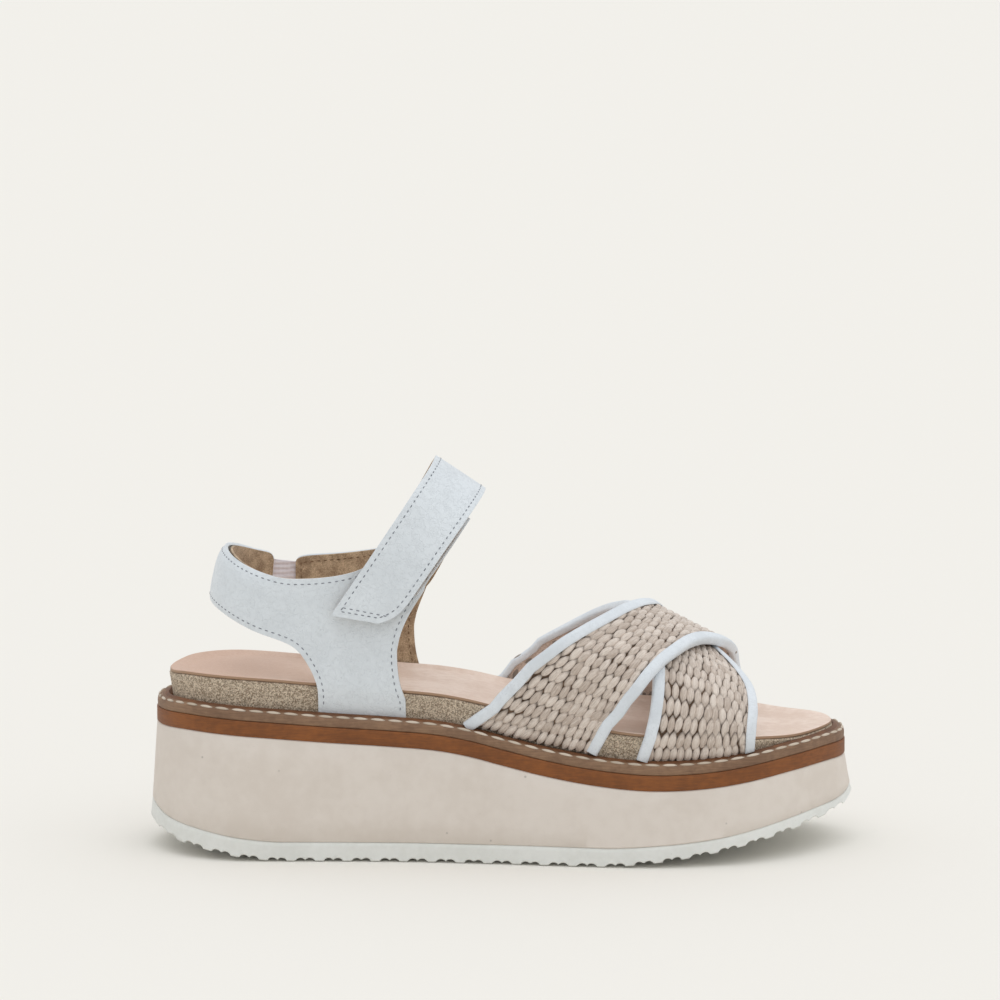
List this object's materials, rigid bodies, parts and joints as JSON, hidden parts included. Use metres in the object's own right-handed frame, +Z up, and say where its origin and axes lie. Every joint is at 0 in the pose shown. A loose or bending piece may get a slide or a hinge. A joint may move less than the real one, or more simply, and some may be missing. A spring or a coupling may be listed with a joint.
{
  "type": "wedge sandal",
  "caption": "Women's wedge sandal for the right foot: ankle strap that opens, padded heel strap on elastic, crossed raffia straps, cork footbed on a foam wedge with a lugged outsole.",
  "frame": {"origin": "on the ground plane, below the middle of the sole's bounding box", "axes": "+X towards the toe, +Y towards the inner (medial) side of the foot, +Z up"},
  "size_m": [0.2682, 0.0998, 0.1483],
  "materials": {
    "outsole_rubber": "matt moulded white rubber",
    "wedge_foam": "matt cream foam with fine specks",
    "runner_foam": "matt tan layer",
    "welt_leatherboard": "smooth taupe",
    "rand_leather": "smooth dark brown",
    "thread": "waxed pale thread",
    "cork": "ground cork, matt",
    "sock_leather": "nude smooth leather",
    "white_leather": "white smooth leather, slight sheen",
    "tan_suede": "tan suede lining",
    "strap_foam": "soft foam",
    "elastic": "ribbed pale elastic",
    "hook_and_loop": "white hook-and-loop pile",
    "raffia": "woven natural raffia",
    "vamp_lining": "pale woven lining"
  },
  "bodies": {
    "sole_and_straps": {"outsole": "outsole_rubber", "midsole_wedge": "wedge_foam", "midsole_runner": "runner_foam", "welt": "welt_leatherboard", "welt_rand": "rand_leather", "welt_stitching": "thread", "cork_footbed": "cork", "leather_sock": "sock_leather", "lateral_quarter_outer": "white_leather", "lateral_quarter_lining": "tan_suede", "medial_quarter_outer": "white_leather", "medial_quarter_lining": "tan_suede", "ankle_strap_outer": "white_leather", "ankle_strap_lining": "tan_suede", "loop_pad": "hook_and_loop", "elastic_gore": "elastic", "over_strap_panel": "raffia", "over_strap_lining": "vamp_lining", "over_strap_rear_binding": "white_leather", "over_strap_front_binding": "white_leather", "under_strap_panel": "raffia", "under_strap_lining": "vamp_lining", "under_strap_rear_binding": "white_leather", "under_strap_front_binding": "white_leather"},
    "ankle_flap": {"ankle_flap_outer": "white_leather", "ankle_flap_lining": "tan_suede", "hook_pad": "hook_and_loop"},
    "heel_strap": {"heel_strap_outer": "white_leather", "heel_strap_foam": "strap_foam", "heel_strap_lining": "tan_suede"}
  },
  "joints": [
    {"name": "ankle_strap_open", "type": "hinge", "parent": "sole_and_straps", "child": "ankle_flap", "pos_m": [-0.01535, 0, 0.14206], "axis": [-0.8291, 0, 0.5591], "range_deg": [0, 150]},
    {"name": "heel_strap_stretch", "type": "hinge", "parent": "sole_and_straps", "child": "heel_strap", "pos_m": [-0.0759, -0.03375, 0.092], "axis": [0, 0, 1], "range_deg": [0, 8], "stiffness_Nm_per_rad": 1.5, "deforming": ["elastic_gore"]}
  ]
}
